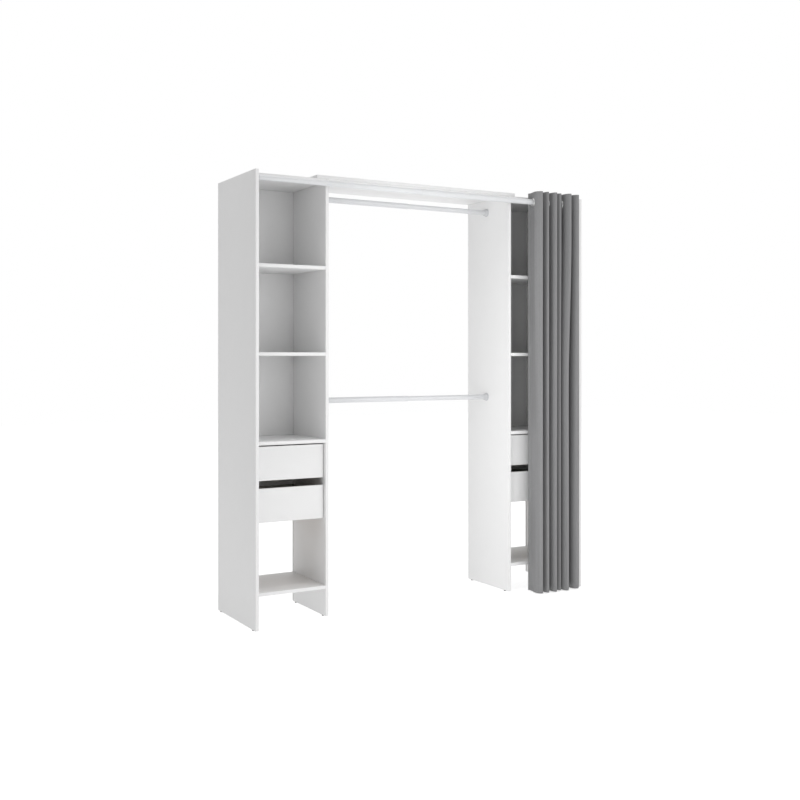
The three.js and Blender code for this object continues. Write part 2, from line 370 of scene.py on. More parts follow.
def zinc():
    # Bright zinc plating on small screws and pins: bluish silver with fine dull mottling
    return finish("zinc-plated steel", {"Metallic": 1.0, "Roughness": 0.34},
                  (srgb("#A9ADB2"), srgb("#C9CCD0")), 1.5, (0.7, 0.2, 0.02))


def nickel():
    # Pressed brass eyelets, nickel plated and polished: a clear mirror that shows the room's white
    # and the dark of the folds, with faint waves from the press
    return finish("polished nickel plating", {"Metallic": 1.0, "Roughness": 0.12},
                  (srgb("#E3E3E2"), srgb("#EDEDEC")), 10, (6, 0.15, 0.05))


def thread():
    # Spun polyester sewing thread, a shade lighter than the cloth
    return finish("grey sewing thread", {"Roughness": 0.7, "IOR": 1.45},
                  (srgb("#8C8C8D"), srgb("#A8A8A9")), 1)


def cloth(settings):
    # Plain-woven polyester: matt mid grey, slubs along the threads, faint upright streaks that are
    # partly where the warp is a little denser and partly painted shade of fine pleat lines, and a
    # low sheen at grazing angles. The threads are drawn coarser than the real 0.4 mm so that they
    # show.
    def build(tree):
        flat = add_node(tree, "ShaderNodeUVMap", uv_map="cloth")
        # The cloth's own plane, drawn out along the warp for the slubs and further for the streaks
        slub_plane, streak_plane = (
            add_node(tree, "ShaderNodeMapping", {"Vector": flat, "Scale": (1, lengthwise, 1)})
            for lengthwise in (0.12, 0.008)
        )
        # A wave texture repeats every 2 pi / 20 units at scale 1
        scale = 2 * math.pi / 20 / settings.thread_spacing
        warp, weft = (
            add_node(tree, "ShaderNodeTexWave", {
                "Vector": flat, "Scale": scale, "Distortion": 0.6, "Detail": 1.0,
            }, bands_direction=across).outputs[1]
            for across in "XY"
        )
        weave = add_node(tree, "ShaderNodeMath", {0: warp, 1: weft}, operation="MULTIPLY")
        slubs = speckle(tree, slub_plane, 2.5, *shades(settings.colour, 0.1), 5)
        threads = add_node(tree, "ShaderNodeMapRange", {
            "Value": weave, "To Min": 0.86, "To Max": 1.05,
        })
        # Upright streaks of tone: partly a denser warp, partly painted shade of fine pleat lines
        density_and_pleat_shade = add_node(tree, "ShaderNodeTexNoise", {
            "Vector": streak_plane, "Scale": 1 / (9 * MM),
        })
        streaks = add_node(tree, "ShaderNodeMapRange", {
            "Value": density_and_pleat_shade, "From Min": 0.25, "From Max": 0.75, "To Min": 0.93, "To Max": 1.07,
        })
        level = add_node(tree, "ShaderNodeMath", {0: threads, 1: streaks}, operation="MULTIPLY")
        coloured = add_node(tree, "ShaderNodeMix", {0: 1.0, 6: slubs, 7: level},
                            data_type="RGBA", blend_type="MULTIPLY")
        relief = add_node(tree, "ShaderNodeBump", {
            "Height": weave, "Strength": 0.35, "Distance": 0.2 * MM,
        })
        return {"Base Color": coloured.outputs[2], "Normal": relief}
    return surface("grey plain weave", {
        "Roughness": 0.9, "IOR": 1.45, "Specular IOR Level": 0.3, "Sheen Weight": 0.06,
        "Sheen Roughness": 0.5,
    }, build)


# Meshes and pieces


def add_object(name, data):
    item = bpy.data.objects.new(name, data)
    bpy.context.scene.collection.objects.link(item)
    return item


def new_piece(name, shape, coats, body=None, replaces=(), smooth_angle=35):
    """An object at the origin for a shape or mesh, riding on a body where one is named."""
    mesh = shape if isinstance(shape, bpy.types.Mesh) else to_mesh(shape)
    mesh.name = name
    piece = add_object(name, mesh)
    if len(mesh.materials) == 0:
        for coat in coats:
            mesh.materials.append(coat)
    mesh.shade_smooth()
    mesh.set_sharp_from_angle(angle=math.radians(smooth_angle))
    if body:
        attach(piece, body)
    if replaces:
        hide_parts(*replaces)
    return piece


def dress(node, word, shape, slot, *coats):
    """A piece that takes a solid's place and rides on its body."""
    return new_piece(f"{node}_{word}", shape, coats, BODY_OF[node], [node])


def to_mesh(shape):
    mesh = bpy.data.meshes.new("piece")
    shape.to_mesh(mesh)
    shape.free()
    return mesh


def node_shape(node):
    """A merged copy of a solid with its flat faces whole."""
    shape = bmesh.new()
    shape.from_mesh(frame["nodes"][node].data)
    bmesh.ops.remove_doubles(shape, verts=shape.verts, dist=0.01 * MM)
    bmesh.ops.dissolve_limit(
        shape, angle_limit=math.radians(1), verts=shape.verts, edges=shape.edges,
    )
    return shape


def middle_of(node):
    low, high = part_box(node)
    return (low + high) / 2


def block_shape(low, high):
    shape = bmesh.new()
    bmesh.ops.create_cube(shape, size=1)
    middle = (Vector(low) + Vector(high)) / 2
    size = [abs(h - l) for l, h in zip(low, high)]
    for vert in shape.verts:
        vert.co = Vector([c * s for c, s in zip(vert.co, size)]) + middle
    return shape


def round_edges(shape, radius, segments=3):
    sharp = [
        edge for edge in shape.edges
        if len(edge.link_faces) == 2 and edge.calc_face_angle(0) > math.radians(30)
    ]
    bmesh.ops.bevel(shape, geom=sharp, offset=radius, segments=segments, profile=0.5,
                    affect="EDGES", clamp_overlap=True)
    bmesh.ops.recalc_face_normals(shape, faces=shape.faces)
    return shape


def dress_board(settings, node):
    """A board with rounded edges; its faces, edging and glue line take the coats 0, 1 and 2."""
    low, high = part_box(node)
    thin = min(range(3), key=lambda i: high[i] - low[i])
    shape = round_edges(node_shape(node), settings.edge_radius)
    for face in shape.faces:
        face.normal_update()
        flat = abs(face.normal[thin])
        face.material_index = 0 if flat > 0.99 else 2 if flat > 0.9 else 1
    dress(node, "board", shape, "melamine", melamine(settings), edge_band(settings), glue_line())


def soften(points, radius, closed=False, steps=4):
    """A profile with each corner turned into a small curve."""
    points = np.array(points, float)
    result = []
    for i, corner in enumerate(points):
        if not closed and i in (0, len(points) - 1):
            result.append(tuple(corner))
            continue
        ends = []
        for other in (points[i - 1], points[(i + 1) % len(points)]):
            size = np.linalg.norm(other - corner)
            # A curve takes less than half of the side that it shares with the next one
            ends.append(corner + (other - corner) / size * min(radius, size * 0.45))
        for step in range(steps + 1):
            t = step / steps
            curve = (1 - t) ** 2 * ends[0] + 2 * t * (1 - t) * corner + t * t * ends[1]
            result.append(tuple(curve))
    return result


def turned_shape(profile, centre, axis, segments, closed=False):
    """A profile of (radius, distance along the axis) turned round an axis that starts at centre."""
    shape = bmesh.new()
    axis = Vector(axis).normalized()
    across = axis.orthogonal().normalized()
    beside = axis.cross(across)
    rings = []
    for radius, along in profile:
        base = Vector(centre) + axis * along
        if radius < 1e-7:
            # On the axis the whole ring is one point
            rings.append([shape.verts.new(base)] * segments)
            continue
        rings.append([
            shape.verts.new(base + (across * math.cos(t) + beside * math.sin(t)) * radius)
            for t in (2 * math.pi * i / segments for i in range(segments))
        ])
    pairs = list(zip(rings, rings[1:]))
    if closed:
        pairs.append((rings[-1], rings[0]))
    for ring, after in pairs:
        for i in range(segments):
            j = (i + 1) % segments
            corners = list(dict.fromkeys((ring[i], ring[j], after[j], after[i])))
            if len(corners) > 2:
                shape.faces.new(corners)
    bmesh.ops.recalc_face_normals(shape, faces=shape.faces)
    return shape


def joined(shapes):
    """Several shapes in one, kept as separate shells."""
    whole = bmesh.new()
    for shape in shapes:
        part = to_mesh(shape)
        whole.from_mesh(part)
        bpy.data.meshes.remove(part)
    return whole


def button_shape(radius, edge, height, rounding, segments):
    """A cap or the head of a pin: an upright edge and a low cone above it."""
    profile = [(0, 0)] + soften([(radius, 0), (radius, edge), (0, height)], rounding)
    return turned_shape(profile, ORIGIN, UP, segments)


def screw_head_shape(radius, height):
    """A countersunk head seen from outside, with a cross recess."""
    outline = [(radius, 0), (radius, height * 0.35), (radius * 0.72, height), (0, height)]
    head = turned_shape([(0, 0)] + soften(outline, radius * 0.12), ORIGIN, UP, segments=20)
    slot, reach = radius * 0.18, radius * 0.62
    arms = [
        block_shape((-long, -wide, height * 0.98), (long, wide, height * 1.03))
        for long, wide in ((reach, slot), (slot, reach))
    ]
    return joined([head] + arms)


def wheel_shape(radius, width, hub_width, centre, axis):
    """A nylon wheel with a hub that stands proud of it."""
    hub = radius * 0.4
    profile = soften([
        (0, 0), (radius, 0), (radius, width), (hub, width), (hub, hub_width), (0, hub_width),
    ], 0.8 * MM)
    return turned_shape(profile, centre, axis, segments=40)


# Node trees that repeat a form


def kept_tree(name, inputs, build):
    """A geometry tree with named inputs and a material; build(tree, given) gives its instances."""
    found = bpy.data.node_groups.get(name)
    if found:
        return found
    tree = bpy.data.node_groups.new(name, "GeometryNodeTree")
    tree.interface.new_socket("Geometry", in_out="INPUT", socket_type="NodeSocketGeometry")
    for label, kind in {**inputs, "Material": "Material"}.items():
        tree.interface.new_socket(label, in_out="INPUT", socket_type=f"NodeSocket{kind}")
    tree.interface.new_socket("Geometry", in_out="OUTPUT", socket_type="NodeSocketGeometry")
    given = add_node(tree, "NodeGroupInput").outputs
    real = add_node(tree, "GeometryNodeRealizeInstances", {"Geometry": build(tree, given)})
    coated = add_node(tree, "GeometryNodeSetMaterial", {
        "Geometry": real, "Material": given["Material"],
    })
    add_node(tree, "NodeGroupOutput", {"Geometry": coated})
    return tree


def copies(tree, points, form, direction=None):
    """A copy of a form on each point, its Z along a direction or else the point's own aim."""
    aim = direction or add_node(tree, "GeometryNodeInputNamedAttribute", {"Name": "aim"},
                                data_type="FLOAT_VECTOR")
    turn = add_node(tree, "FunctionNodeAlignRotationToVector", {"Vector": aim}, axis="Z")
    return add_node(tree, "GeometryNodeInstanceOnPoints", {
        "Points": points, "Instance": form, "Rotation": turn,
    })


def fixing_tree():
    """One copy of a form on each point, aimed along the point's aim attribute."""
    def build(tree, given):
        form = add_node(tree, "GeometryNodeObjectInfo", {"Object": given["Form"]})
        return copies(tree, given["Geometry"], form.outputs["Geometry"])
    return kept_tree("place fixings", {"Form": "Object"}, build)


def seam_tree():
    """Stitches at an even spacing along a line of edges."""
    def build(tree, given):
        line = add_node(tree, "GeometryNodeMeshToCurve", {"Mesh": given["Geometry"]})
        even = add_node(tree, "GeometryNodeResampleCurve", {
            "Curve": line, "Length": given["Spacing"],
        }, mode="LENGTH")
        tangent = add_node(tree, "GeometryNodeInputTangent")
        stitch = add_node(tree, "GeometryNodeObjectInfo", {"Object": given["Stitch"]})
        return copies(tree, even, stitch.outputs["Geometry"], tangent)
    return kept_tree("sew a seam", {"Stitch": "Object", "Spacing": "Float"}, build)


def eyelet_tree():
    """A rounded ring on each point, square to its aim: a profile carried round a circle."""
    def build(tree, given):
        circle, section = (
            add_node(tree, "GeometryNodeCurvePrimitiveCircle", {
                "Resolution": resolution, "Radius": radius,
            })
            for resolution, radius in ((48, given["Ring Radius"]), (16, 1.0))
        )
        flat = add_node(tree, "ShaderNodeCombineXYZ", {
            "X": given["Half Width"], "Y": given["Half Thickness"], "Z": 1.0,
        })
        shaped = add_node(tree, "GeometryNodeTransform", {"Geometry": section, "Scale": flat})
        swept = add_node(tree, "GeometryNodeCurveToMesh", {
            "Curve": circle, "Profile Curve": shaped,
        })
        return copies(tree, given["Geometry"], swept)
    return kept_tree("eyelet ring", {
        "Ring Radius": "Float", "Half Width": "Float", "Half Thickness": "Float",
    }, build)


def grown(points, edges, tree, coat, values, aims=None):
    """Runs a tree on points or lines and gives its result as a plain mesh."""
    base = bpy.data.meshes.new("base")
    base.from_pydata([tuple(p) for p in points], edges, [])
    if aims:
        attribute = base.attributes.new("aim", "FLOAT_VECTOR", "POINT")
        attribute.data.foreach_set("vector", [c for aim in aims for c in aim])
    carrier = add_object("base", base)
    modifier = carrier.modifiers.new("grow", "NODES")
    modifier.node_group = tree
    sockets = {s.name: s.identifier for s in tree.interface.items_tree if s.in_out == "INPUT"}
    for name, value in {**values, "Material": coat}.items():
        modifier[sockets[name]] = value
    view = bpy.context.evaluated_depsgraph_get()
    mesh = bpy.data.meshes.new_from_object(carrier.evaluated_get(view))
    carrier.modifiers.remove(modifier)
    drop(carrier)
    if len(mesh.polygons) == 0:
        raise RuntimeError(f"the tree {tree.name} made nothing")
    return mesh


def drop(item):
    """Takes away a form or carrier once its copies are made."""
    mesh = item.data
    bpy.data.objects.remove(item)
    bpy.data.meshes.remove(mesh)


def place_forms(name, shape, coat, body, fixings):
    """A piece of one form's copies; each fixing is a place and the direction that it looks in."""
    form = add_object("form", to_mesh(shape))
    places, aims = zip(*fixings)
    mesh = grown(places, [], fixing_tree(), coat, {"Form": form}, aims)
    drop(form)
    return new_piece(name, mesh, [coat], body)


# Operators, one for each group of pieces


class WARDROBE_OT_boards(bpy.types.Operator):
    """Side panels, shelves and top board with edge banding"""

    bl_idname = "wardrobe.boards"
    bl_label = "Boards"

    def execute(self, context):
        nodes = [f"{board}_{side}" for side in SIDES for board in PANELS + SHELVES]
        for node in ["top_board"] + nodes:
            dress_board(context.scene.wardrobe_boards, node)
        return {"FINISHED"}


class WARDROBE_OT_fittings(bpy.types.Operator):
    """Caps over the cam fittings under the shelves"""

    bl_idname = "wardrobe.fittings"
    bl_label = "Cam caps"

    # The caps' distance from the shelves' ends, and from their front and rear edges
    inset_x = 34 * MM
    inset_y = 68 * MM

    def execute(self, context):
        plastic = moulded("moulded white cap", "#E4E4E2", "#ECECEA", 0.35)
        radius = context.scene.wardrobe_boards.cap_diameter / 2
        for side in SIDES:
            caps = []
            for board in SHELVES:
                low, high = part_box(f"{board}_{side}")
                caps += [
                    ((x, y, low.z), (0, 0, -1))
                    for x in (low.x + self.inset_x, high.x - self.inset_x)
                    for y in (low.y + self.inset_y, high.y - self.inset_y)
                ]
            cap = button_shape(radius, edge=0.7 * MM, height=1 * MM, rounding=0.4 * MM, segments=24)
            place_forms(f"cam_caps_{side}", cap, plastic, f"{side}_column", caps)
        return {"FINISHED"}


class WARDROBE_OT_backs(bpy.types.Operator):
    """Hardboard backs and the pins that hold them to the shelves"""

    bl_idname = "wardrobe.backs"
    bl_label = "Backs"

    # Where the pins stand across a back
    pin_shares = (0.12, 0.5, 0.88)

    def execute(self, context):
        coat = hardboard(context.scene.wardrobe_boards, (0, 1, 0))
        for side in SIDES:
            node = f"back_{side}"
            dress(node, "sheet", round_edges(node_shape(node), *SHEET_EDGE), "hardboard", coat)
            low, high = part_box(node)
            # The backs end above the base shelf
            pins = [
                ((low.x + (high.x - low.x) * share, high.y, middle_of(f"{board}_{side}").z),
                 (0, 1, 0))
                for board in SHELVES[:-1] for share in self.pin_shares
            ]
            pin = button_shape(radius=2.2 * MM, edge=0.5 * MM, height=0.8 * MM, rounding=0.3 * MM,
                               segments=14)
            place_forms(f"back_pins_{side}", pin, zinc(), BODY_OF[node], pins)
        return {"FINISHED"}


class WARDROBE_OT_drawers(bpy.types.Operator):
    """Drawer fronts and boxes with their rails and wheels"""

    bl_idname = "wardrobe.drawers"
    bl_label = "Drawers"

    wall = 12 * MM
    floor_lift = 8 * MM
    floor_thickness = 3 * MM
    rail_reach = 11.1 * MM
    rail_rise = 15.9 * MM
    rail_height = 18.2 * MM
    rail_length = 290 * MM
    sheet_steel = 1.2 * MM
    # Room between a wheel and the rail: above it, beside it and behind it
    wheel_room = (0.2 * MM, 0.5 * MM, 1 * MM)

    def execute(self, context):
        for side in SIDES:
            for level in LEVELS:
                name = f"drawer_{side}_{level}"
                dress_board(context.scene.wardrobe_boards, f"{name}_front")
                self.box(context, name)
        return {"FINISHED"}

    def box(self, context, name):
        boards = context.scene.wardrobe_boards
        low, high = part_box(f"{name}_box")
        x0, x1 = low.x + self.rail_reach, high.x - self.rail_reach
        inner0, inner1 = x0 + self.wall, x1 - self.wall
        rear, base = high.y - self.wall, low.z + self.floor_lift
        walls = {
            "left_wall": ((x0, low.y, low.z), (inner0, high.y, high.z)),
            "right_wall": ((inner1, low.y, low.z), (x1, high.y, high.z)),
            "rear_wall": ((inner0, rear, base), (inner1, high.y, high.z)),
        }
        # The first wall stands for the box's solid
        replaced = [f"{name}_box"]
        for word, corners in walls.items():
            wall = round_edges(block_shape(*corners), boards.edge_radius * 0.7)
            new_piece(f"{name}_{word}", wall, [drawer_foil(boards)], name, replaced)
            replaced = []
        tray = block_shape((inner0, low.y, base), (inner1, rear, base + self.floor_thickness))
        round_edges(tray, *SHEET_EDGE)
        new_piece(f"{name}_floor", tray, [hardboard(boards, (0, 0, -1))], name)
        for word, wall_x, outward in (("left", x0, -1), ("right", x1, 1)):
            rail, wheel = self.rail(wall_x, outward, low)
            new_piece(f"{name}_{word}_rail", rail, [white_coat(context)], name)
            new_piece(f"{name}_{word}_wheel", wheel, [nylon()], name)

    def rail(self, wall_x, outward, low):
        """An angle of sheet steel on the drawer's side, and the wheel at its rear end."""
        bottom = low.z + self.rail_rise
        top = bottom + self.rail_height
        bend, end = top - self.sheet_steel, low.y + self.rail_length
        web, flange = (
            block_shape((wall_x, low.y, z0), (wall_x + outward * reach, end, z1))
            for reach, z0, z1 in ((self.sheet_steel, bottom, bend), (self.rail_reach, bend, top))
        )
        rail = joined([round_edges(part, *SHEET_EDGE) for part in (web, flange)])
        above, beside, behind = self.wheel_room
        radius = (self.rail_height - self.sheet_steel) / 2 - above
        place = (wall_x + outward * (self.sheet_steel + beside), end - radius - behind,
                 bottom + radius)
        return rail, wheel_shape(radius, width=7 * MM, hub_width=7.8 * MM, centre=place,
                                 axis=(outward, 0, 0))


class WARDROBE_OT_runners(bpy.types.Operator):
    """Runner channels on the columns, with their wheels and screws"""

    bl_idname = "wardrobe.runners"
    bl_label = "Runners"

    edge_radius = 0.35 * MM
    sheet_steel = 1.5 * MM
    # Where the screws stand along a runner
    screw_shares = (0.18, 0.82)
    wheel_radius = 8.4 * MM
    # A wheel's distance from the runner's web, its front end and its lower edge
    wheel_room = (0.9 * MM, 3 * MM, 1.7 * MM)

    def execute(self, context):
        for side in SIDES:
            screws, wheels = [], []
            for level in LEVELS:
                for place in ("outer", "inner"):
                    node = f"runner_{side}_{level}_{place}"
                    channel = round_edges(node_shape(node), self.edge_radius, 2)
                    dress(node, "channel", channel, "white_steel", white_coat(context))
                    low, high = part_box(node)
                    panel_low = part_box(f"{place}_side_{side}")[0]
                    towards = 1 if panel_low.x < low.x else -1
                    web = (low.x if towards > 0 else high.x) + towards * self.sheet_steel
                    for share in self.screw_shares:
                        screw = (web, low.y + (high.y - low.y) * share, middle_of(node).z)
                        screws.append((screw, (towards, 0, 0)))
                    wheels.append(self.wheel(web, towards, low))
            body = f"{side}_column"
            head = screw_head_shape(radius=3.2 * MM, height=0.8 * MM)
            place_forms(f"runner_screws_{side}", head, zinc(), body, screws)
            new_piece(f"runner_wheels_{side}", joined(wheels), [nylon()], body)
        return {"FINISHED"}

    def wheel(self, web, towards, low):
        radius = self.wheel_radius
        beside, behind, above = self.wheel_room
        place = (web + towards * beside, low.y + radius + behind, low.z + above + radius)
        return wheel_shape(radius, width=6.5 * MM, hub_width=7.2 * MM, centre=place,
                           axis=(towards, 0, 0))


class WARDROBE_OT_tubes(bpy.types.Operator):
    """Telescopic hanging rails and curtain rod"""

    bl_idname = "wardrobe.tubes"
    bl_label = "Rails and rod"

    wall = 1.2 * MM

    def execute(self, context):
        settings = context.scene.wardrobe_tubes
        # The rails take the greyer copy of the white coat, which is painted shade
        shaded_rail_coat = powder_coat("pale grey powder coat on steel", settings.shaded_rail_colour)
        for run in RUNS:
            coat = white_coat(context) if run == "curtain_rod" else shaded_rail_coat
            for kind in ("wide", "slim"):
                node = f"{run}_{kind}_tube"
                low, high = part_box(node)
                radius = (high.z - low.z) / 2
                bore, end = radius - self.wall, high.x - low.x
                profile = soften([(bore, 0), (radius, 0), (radius, end), (bore, end)],
                                 settings.end_radius, closed=True, steps=3)
                tube = turned_shape(profile, (low.x, *middle_of(node).yz), (1, 0, 0),
                                    settings.segments, closed=True)
                dress(node, "steel", tube, "white_steel", coat)
        return {"FINISHED"}


class WARDROBE_OT_sockets(bpy.types.Operator):
    """End sockets of the rails and the rod, with their screws"""

    bl_idname = "wardrobe.sockets"
    bl_label = "Sockets"

    flange_radius = 21 * MM
    flange = 3 * MM
    base = 1.5 * MM
    slim_bore = 12.8 * MM
    wide_bore = 14.3 * MM
    rod_wall = 2.5 * MM
    rail_wall = 4 * MM
    # The two screws stand across the flange, with their heads sunk a little into it
    screw_turns = (-0.7, 2.44)
    screw_circle = 18.7 * MM
    screw_base = 2.9 * MM

    def execute(self, context):
        settings = context.scene.wardrobe_tubes
        plastic = moulded("moulded pale socket", "#C6C7C9", "#D2D3D5", 0.3)
        for side in SIDES:
            on_left = side == "left"
            towards = 1 if on_left else -1
            screws = []
            for run in RUNS:
                node = f"{run}_socket_{side}"
                low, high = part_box(node)
                centre = Vector((low.x if on_left else high.x, *middle_of(node).yz))
                # The slim tube is at the left in the rod and at the right in the rails
                on_rod = run == "curtain_rod"
                bore = self.slim_bore if on_left == on_rod else self.wide_bore
                outer = bore + (self.rod_wall if on_rod else self.rail_wall)
                end = high.x - low.x
                profile = soften([
                    (0, 0), (self.flange_radius, 0), (self.flange_radius, self.flange),
                    (outer, self.flange), (outer, end), (bore, end), (bore, self.base),
                    (0, self.base),
                ], 0.7 * MM)
                cup = turned_shape(profile, centre, (towards, 0, 0), settings.segments)
                dress(node, "cup", cup, "white_plastic", plastic)
                for turn in self.screw_turns:
                    offset = Vector((0, math.cos(turn), math.sin(turn))) * self.screw_circle
                    place = centre + Vector((towards * self.screw_base, 0, 0)) + offset
                    screws.append((place, (towards, 0, 0)))
            head = screw_head_shape(radius=1.9 * MM, height=0.5 * MM)
            place_forms(f"socket_screws_{side}", head, zinc(), f"{side}_column",
                        screws)
        return {"FINISHED"}


class WARDROBE_OT_glides(bpy.types.Operator):
    """Nail glides under the side panels"""

    bl_idname = "wardrobe.glides"
    bl_label = "Nail glides"

    def execute(self, context):
        plastic = moulded("moulded black glide", "#080808", "#101010", 0.7)
        nodes = [
            f"glide_{side}_{panel}_{end}"
            for side in SIDES for panel in ("outer", "inner") for end in ("front", "rear")
        ]
        for node in nodes:
            low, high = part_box(node)
            radius, height = (high.x - low.x) / 2, high.z - low.z
            profile = soften([
                (0, 0), (radius * 0.8, 0), (radius, height * 0.3), (radius, height), (0, height),
            ], 0.6 * MM)
            foot = turned_shape(profile, (*middle_of(node).xy, low.z), UP, segments=40)
            dress(node, "foot", foot, "black_plastic", plastic)
        return {"FINISHED"}


class WARDROBE_OT_curtain(bpy.types.Operator):
    """The gathered curtain, its seams and its eyelets"""

    bl_idname = "wardrobe.curtain"
    bl_label = "Curtain"

    end_gap = 9 * MM
    width = 264 * MM
    front_depth = 60 * MM
    rear_depth = 48 * MM
    hem = 5 * MM
    heading = 50 * MM
    # Seams below the cloth's upper edge
    heading_seams = (92 * MM, 6 * MM)
    eyelet_radius = 22.5 * MM
    eyelet_bore = 17.5 * MM
    eyelet_width = 5.5 * MM
    # The rings hang on the rod and are pulled a little forward by the folds
    eyelet_drop = 2.5 * MM
    eyelet_pull = 2 * MM
    # The rows of cloth are close this far above and below a ring; how many there are up to the
    # close ones, among them and above them
    close = 27 * MM
    row_counts = (60, 22, 7)
    # How far the faces bulge past their crests, and how the columns of cloth crowd at the crests
    bulge = 1.15
    crowding = 0.85
    face_steps = 36
    # Height, as a share, at which a fold starts to turn from its hem's shape, and how soon it ends
    turn_start = 0.5
    turn_range = 0.4
    # Above 1 it moves a front fold's swell from the middle of the face towards the front crest
    swell_power = 1.6
    # Slow waves of the crests, and of the faces up to just below the eyelets: how far they swing,
    # and how they turn with the height and from one crest or face to the next. The front crests'
    # waves run a little ahead.
    crest_wave = 0.9 * MM
    crest_turns = (5.3, 1.7)
    front_lead = 0.6
    face_wave = 1.3 * MM
    face_turns = (6.1, 2.3)
    wave_end = 0.93
    wave_fade = 0.1
    # As shares of an eyelet's radius: how near to a ring the cloth's slope is taken, and how far
    # beyond the eyelet the clamped cloth comes free
    slope_reach = 0.8
    clamp_reach = 0.4

    def execute(self, context):
        self.settings = context.scene.wardrobe_curtain
        low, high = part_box("curtain_rod_wide_tube")
        self.rod_y, self.rod_z = (low.y + high.y) / 2, (low.z + high.z) / 2
        self.ring_y, self.ring_z = self.rod_y - self.eyelet_pull, self.rod_z - self.eyelet_drop
        self.top = self.rod_z + self.heading
        self.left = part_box("outer_side_right")[0].x - self.end_gap - self.width
        self.levels = self.heights()
        self.stitch = add_object("stitch", to_mesh(self.stitch_shape()))
        start = 0.0
        for index in range(2 * len(FRONT_CRESTS)):
            start += self.face(index, start)
        drop(self.stitch)
        return {"FINISHED"}

    def heights(self):
        """Heights of the cloth's rows: even ones, and close ones round the eyelets."""
        marks = (self.hem, self.ring_z - self.close, self.ring_z + self.close, self.top)
        parts = [np.linspace(*part) for part in zip(marks, marks[1:], self.row_counts)]
        return np.concatenate([parts[0]] + [part[1:] for part in parts[1:]])

    def share(self, height):
        """A height as a share of the way from the hem to the upper edge."""
        return (height - self.hem) / (self.top - self.hem)

    def between(self, values, share):
        """The first value, at the hem, turns softly into the second one, at the heading."""
        step = min(1, max(0, (share - self.turn_start) / self.turn_range))
        return (values[0] + (values[1] - values[0]) * step * step * (3 - 2 * step)) * MM

    def crest(self, index, is_front, share):
        """Where a crest stands at a share of the curtain's height."""
        along, out, lean = (FRONT_CRESTS if is_front else REAR_CRESTS)[index][:3]
        climb, step = self.crest_turns
        phase = step * index + (self.front_lead if is_front else 0)
        sway = self.crest_wave * math.sin(climb * share + phase) * math.sin(math.pi * share)
        x = self.left + self.width * along + self.between(lean, share) + sway
        depth = -self.front_depth if is_front else self.rear_depth
        return x, self.rod_y + depth * out

    def line(self, index, share):
        """The cloth of one face at a share of the height, from its left crest to its right one."""
        rear_first = index % 2 == 0
        left = self.crest(index // 2, not rear_first, share)
        right = self.crest((index + 1) // 2, rear_first, share)
        t = np.linspace(0, 1, self.face_steps + 1)
        s = t - self.crowding * np.sin(2 * np.pi * t) / (2 * np.pi)
        across = s + self.bulge * np.sin(2 * np.pi * s) / (2 * np.pi)
        x = left[0] + (right[0] - left[0]) * across
        y = left[1] + (right[1] - left[1]) * (1 - np.cos(np.pi * s)) / 2
        if rear_first:
            # The front folds swell towards the middle bay and almost touch the fold before them
            swell = self.between(FRONT_CRESTS[index // 2][3], share)
            x = x - swell * np.sin(np.pi * s ** self.swell_power) ** 2
        # Slow waves across the face, which leave the crests and the eyelets where they are
        fade = min(1, max(0, (self.wave_end - share) / self.wave_fade))
        free = np.sin(np.pi * s) ** 2 * fade
        climb, step = self.face_turns
        return x + self.face_wave * free * math.sin(climb * share + step * index), y

    def followed(self, rows):
        """The points that have another one after them in their row."""
        count = self.face_steps + 1
        return [row * count + k for row in range(rows) for k in range(self.face_steps)]

    def ring_place(self, index):
        """A ring's x and how far the cloth runs sideways there for each metre that it runs back."""
        x, y = self.line(index, self.share(self.ring_z))
        order = np.argsort(y)
        reach = self.slope_reach * self.eyelet_radius
        near = (self.ring_y - reach, self.ring_y + reach)
        ends = np.interp(near, y[order], x[order])
        return float(ends.mean()), float((ends[1] - ends[0]) / (near[1] - near[0]))

    def face_mesh(self, index, start, ring_x, slope):
        """The cloth of one face with the eyelet's hole, and the face's width laid flat."""
        count = self.face_steps + 1
        rows = [
            np.stack([*self.line(index, self.share(z)), np.full(count, z)], 1) for z in self.levels
        ]
        points = np.concatenate(rows)
        steps = np.linalg.norm(np.diff(rows[-1][:, :2], axis=0), axis=1)
        arc = np.concatenate([[0], np.cumsum(steps)])
        hole = (self.eyelet_radius + self.eyelet_bore) / 2
        ring = np.array([self.ring_y, self.ring_z])
        away = np.hypot(*(points[:, 1:] - ring).T)
        # The cloth lies flat where the eyelet clamps it
        reach = self.clamp_reach * self.eyelet_radius
        free = np.clip((away - self.eyelet_radius) / reach, 0, 1)
        clamped = ring_x + slope * (points[:, 1] - self.ring_y)
        points[:, 0] = clamped + (points[:, 0] - clamped) * free * free * (3 - 2 * free)
        # The points inside the hole move out to its edge, and the quads inside it are left out
        inside = away < hole
        push = np.where(inside & (away > 1e-6), hole / np.maximum(away, 1e-6), 1)
        points[:, 1:] = ring + (points[:, 1:] - ring) * push[:, None]
        quads = np.array([
            (k, k + 1, k + count + 1, k + count) for k in self.followed(len(rows) - 1)
        ])
        quads = quads[~inside[quads].all(axis=1)]
        used, corners = np.unique(quads, return_inverse=True)
        mesh = bpy.data.meshes.new("cloth")
        mesh.from_pydata(points[used], [], corners.reshape(quads.shape))
        flat = np.stack([start + arc[quads % count], points[quads, 2]], 2)
        mesh.uv_layers.new(name="cloth").data.foreach_set("uv", flat.ravel())
        return mesh, float(arc[-1])

